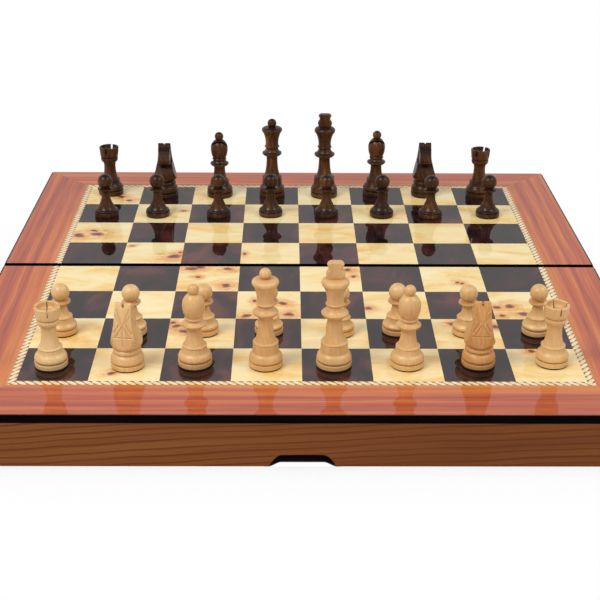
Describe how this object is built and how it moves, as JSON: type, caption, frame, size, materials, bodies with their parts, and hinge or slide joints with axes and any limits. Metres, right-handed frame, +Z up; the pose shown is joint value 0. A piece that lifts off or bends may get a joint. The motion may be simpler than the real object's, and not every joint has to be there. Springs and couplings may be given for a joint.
{
  "type": "folding chess box",
  "caption": "Folding chess box lying open as a board: two hinged trays with an inlaid field, banding, border and finger notches, set with turned and carved men.",
  "frame": {"origin": "on the table, under the middle of the fold", "axes": "+X to the right along the fold, +Y from the light men's side to the dark men's side, +Z up"},
  "size_m": [0.48, 0.484, 0.1182],
  "materials": {
    "black_lacquer": "gloss black lacquer",
    "burl_veneer": "clear gloss lacquer over pale burl",
    "tortoise_veneer": "clear gloss lacquer over dark red figured veneer",
    "banding": "patterned inlay under gloss lacquer",
    "border_veneer": "straight-grained veneer under gloss lacquer",
    "walnut_rail": "satin walnut",
    "felt_lining": "felt",
    "hinge_brass": "polished",
    "magnet_steel": "nickel plated",
    "light_wood": "satin turned boxwood colour",
    "dark_wood": "satin dark stained"
  },
  "bodies": {
    "near_half": {"near_panel": "black_lacquer", "near_light_squares": "burl_veneer", "near_dark_squares": "tortoise_veneer", "near_banding": "banding", "near_border": "border_veneer", "near_outer_rail": "walnut_rail", "near_left_rail": "walnut_rail", "near_right_rail": "walnut_rail", "near_fold_rail": "walnut_rail", "near_felt": "felt_lining", "near_hinge_leaves": "hinge_brass", "hinge_pins": "hinge_brass", "near_hinge_screws": "hinge_brass", "near_magnets": "magnet_steel"},
    "far_half": {"far_panel": "black_lacquer", "far_light_squares": "burl_veneer", "far_dark_squares": "tortoise_veneer", "far_banding": "banding", "far_border": "border_veneer", "far_outer_rail": "walnut_rail", "far_left_rail": "walnut_rail", "far_right_rail": "walnut_rail", "far_fold_rail": "walnut_rail", "far_felt": "felt_lining", "far_hinge_leaves": "hinge_brass", "far_hinge_screws": "hinge_brass", "far_magnets": "magnet_steel"},
    "light_rook_a": {"light_rook_a": "light_wood"},
    "light_knight_b": {"light_knight_b": "light_wood"},
    "light_bishop_c": {"light_bishop_c": "light_wood"},
    "light_queen_d": {"light_queen_d": "light_wood"},
    "light_king_e": {"light_king_e": "light_wood"},
    "light_bishop_f": {"light_bishop_f": "light_wood"},
    "light_knight_g": {"light_knight_g": "light_wood"},
    "light_rook_h": {"light_rook_h": "light_wood"},
    "light_pawn_a": {"light_pawn_a": "light_wood"},
    "light_pawn_b": {"light_pawn_b": "light_wood"},
    "light_pawn_c": {"light_pawn_c": "light_wood"},
    "light_pawn_d": {"light_pawn_d": "light_wood"},
    "light_pawn_e": {"light_pawn_e": "light_wood"},
    "light_pawn_f": {"light_pawn_f": "light_wood"},
    "light_pawn_g": {"light_pawn_g": "light_wood"},
    "light_pawn_h": {"light_pawn_h": "light_wood"},
    "dark_rook_a": {"dark_rook_a": "dark_wood"},
    "dark_knight_b": {"dark_knight_b": "dark_wood"},
    "dark_bishop_c": {"dark_bishop_c": "dark_wood"},
    "dark_queen_d": {"dark_queen_d": "dark_wood"},
    "dark_king_e": {"dark_king_e": "dark_wood"},
    "dark_bishop_f": {"dark_bishop_f": "dark_wood"},
    "dark_knight_g": {"dark_knight_g": "dark_wood"},
    "dark_rook_h": {"dark_rook_h": "dark_wood"},
    "dark_pawn_a": {"dark_pawn_a": "dark_wood"},
    "dark_pawn_b": {"dark_pawn_b": "dark_wood"},
    "dark_pawn_c": {"dark_pawn_c": "dark_wood"},
    "dark_pawn_d": {"dark_pawn_d": "dark_wood"},
    "dark_pawn_e": {"dark_pawn_e": "dark_wood"},
    "dark_pawn_f": {"dark_pawn_f": "dark_wood"},
    "dark_pawn_g": {"dark_pawn_g": "dark_wood"},
    "dark_pawn_h": {"dark_pawn_h": "dark_wood"}
  },
  "joints": [
    {"name": "fold_hinge", "type": "hinge", "parent": "near_half", "child": "far_half", "pos_m": [0, 0, 0.003], "axis": [-1, 0, 0], "range_deg": [-1.49, 178.5]},
    {"name": "lift_light_rook_a", "type": "slide", "parent": "near_half", "child": "light_rook_a", "axis": [0, -0.013, 0.9999], "range_m": [0, 0.1]},
    {"name": "lift_light_knight_b", "type": "slide", "parent": "near_half", "child": "light_knight_b", "axis": [0, -0.013, 0.9999], "range_m": [0, 0.1]},
    {"name": "lift_light_bishop_c", "type": "slide", "parent": "near_half", "child": "light_bishop_c", "axis": [0, -0.013, 0.9999], "range_m": [0, 0.1]},
    {"name": "lift_light_queen_d", "type": "slide", "parent": "near_half", "child": "light_queen_d", "axis": [0, -0.013, 0.9999], "range_m": [0, 0.1]},
    {"name": "lift_light_king_e", "type": "slide", "parent": "near_half", "child": "light_king_e", "axis": [0, -0.013, 0.9999], "range_m": [0, 0.1]},
    {"name": "lift_light_bishop_f", "type": "slide", "parent": "near_half", "child": "light_bishop_f", "axis": [0, -0.013, 0.9999], "range_m": [0, 0.1]},
    {"name": "lift_light_knight_g", "type": "slide", "parent": "near_half", "child": "light_knight_g", "axis": [0, -0.013, 0.9999], "range_m": [0, 0.1]},
    {"name": "lift_light_rook_h", "type": "slide", "parent": "near_half", "child": "light_rook_h", "axis": [0, -0.013, 0.9999], "range_m": [0, 0.1]},
    {"name": "lift_light_pawn_a", "type": "slide", "parent": "near_half", "child": "light_pawn_a", "axis": [0, -0.013, 0.9999], "range_m": [0, 0.1]},
    {"name": "lift_light_pawn_b", "type": "slide", "parent": "near_half", "child": "light_pawn_b", "axis": [0, -0.013, 0.9999], "range_m": [0, 0.1]},
    {"name": "lift_light_pawn_c", "type": "slide", "parent": "near_half", "child": "light_pawn_c", "axis": [0, -0.013, 0.9999], "range_m": [0, 0.1]},
    {"name": "lift_light_pawn_d", "type": "slide", "parent": "near_half", "child": "light_pawn_d", "axis": [0, -0.013, 0.9999], "range_m": [0, 0.1]},
    {"name": "lift_light_pawn_e", "type": "slide", "parent": "near_half", "child": "light_pawn_e", "axis": [0, -0.013, 0.9999], "range_m": [0, 0.1]},
    {"name": "lift_light_pawn_f", "type": "slide", "parent": "near_half", "child": "light_pawn_f", "axis": [0, -0.013, 0.9999], "range_m": [0, 0.1]},
    {"name": "lift_light_pawn_g", "type": "slide", "parent": "near_half", "child": "light_pawn_g", "axis": [0, -0.013, 0.9999], "range_m": [0, 0.1]},
    {"name": "lift_light_pawn_h", "type": "slide", "parent": "near_half", "child": "light_pawn_h", "axis": [0, -0.013, 0.9999], "range_m": [0, 0.1]},
    {"name": "lift_dark_rook_a", "type": "slide", "parent": "far_half", "child": "dark_rook_a", "axis": [0, 0.013, 0.9999], "range_m": [0, 0.1]},
    {"name": "lift_dark_knight_b", "type": "slide", "parent": "far_half", "child": "dark_knight_b", "axis": [0, 0.013, 0.9999], "range_m": [0, 0.1]},
    {"name": "lift_dark_bishop_c", "type": "slide", "parent": "far_half", "child": "dark_bishop_c", "axis": [0, 0.013, 0.9999], "range_m": [0, 0.1]},
    {"name": "lift_dark_queen_d", "type": "slide", "parent": "far_half", "child": "dark_queen_d", "axis": [0, 0.013, 0.9999], "range_m": [0, 0.1]},
    {"name": "lift_dark_king_e", "type": "slide", "parent": "far_half", "child": "dark_king_e", "axis": [0, 0.013, 0.9999], "range_m": [0, 0.1]},
    {"name": "lift_dark_bishop_f", "type": "slide", "parent": "far_half", "child": "dark_bishop_f", "axis": [0, 0.013, 0.9999], "range_m": [0, 0.1]},
    {"name": "lift_dark_knight_g", "type": "slide", "parent": "far_half", "child": "dark_knight_g", "axis": [0, 0.013, 0.9999], "range_m": [0, 0.1]},
    {"name": "lift_dark_rook_h", "type": "slide", "parent": "far_half", "child": "dark_rook_h", "axis": [0, 0.013, 0.9999], "range_m": [0, 0.1]},
    {"name": "lift_dark_pawn_a", "type": "slide", "parent": "far_half", "child": "dark_pawn_a", "axis": [0, 0.013, 0.9999], "range_m": [0, 0.1]},
    {"name": "lift_dark_pawn_b", "type": "slide", "parent": "far_half", "child": "dark_pawn_b", "axis": [0, 0.013, 0.9999], "range_m": [0, 0.1]},
    {"name": "lift_dark_pawn_c", "type": "slide", "parent": "far_half", "child": "dark_pawn_c", "axis": [0, 0.013, 0.9999], "range_m": [0, 0.1]},
    {"name": "lift_dark_pawn_d", "type": "slide", "parent": "far_half", "child": "dark_pawn_d", "axis": [0, 0.013, 0.9999], "range_m": [0, 0.1]},
    {"name": "lift_dark_pawn_e", "type": "slide", "parent": "far_half", "child": "dark_pawn_e", "axis": [0, 0.013, 0.9999], "range_m": [0, 0.1]},
    {"name": "lift_dark_pawn_f", "type": "slide", "parent": "far_half", "child": "dark_pawn_f", "axis": [0, 0.013, 0.9999], "range_m": [0, 0.1]},
    {"name": "lift_dark_pawn_g", "type": "slide", "parent": "far_half", "child": "dark_pawn_g", "axis": [0, 0.013, 0.9999], "range_m": [0, 0.1]},
    {"name": "lift_dark_pawn_h", "type": "slide", "parent": "far_half", "child": "dark_pawn_h", "axis": [0, 0.013, 0.9999], "range_m": [0, 0.1]}
  ]
}
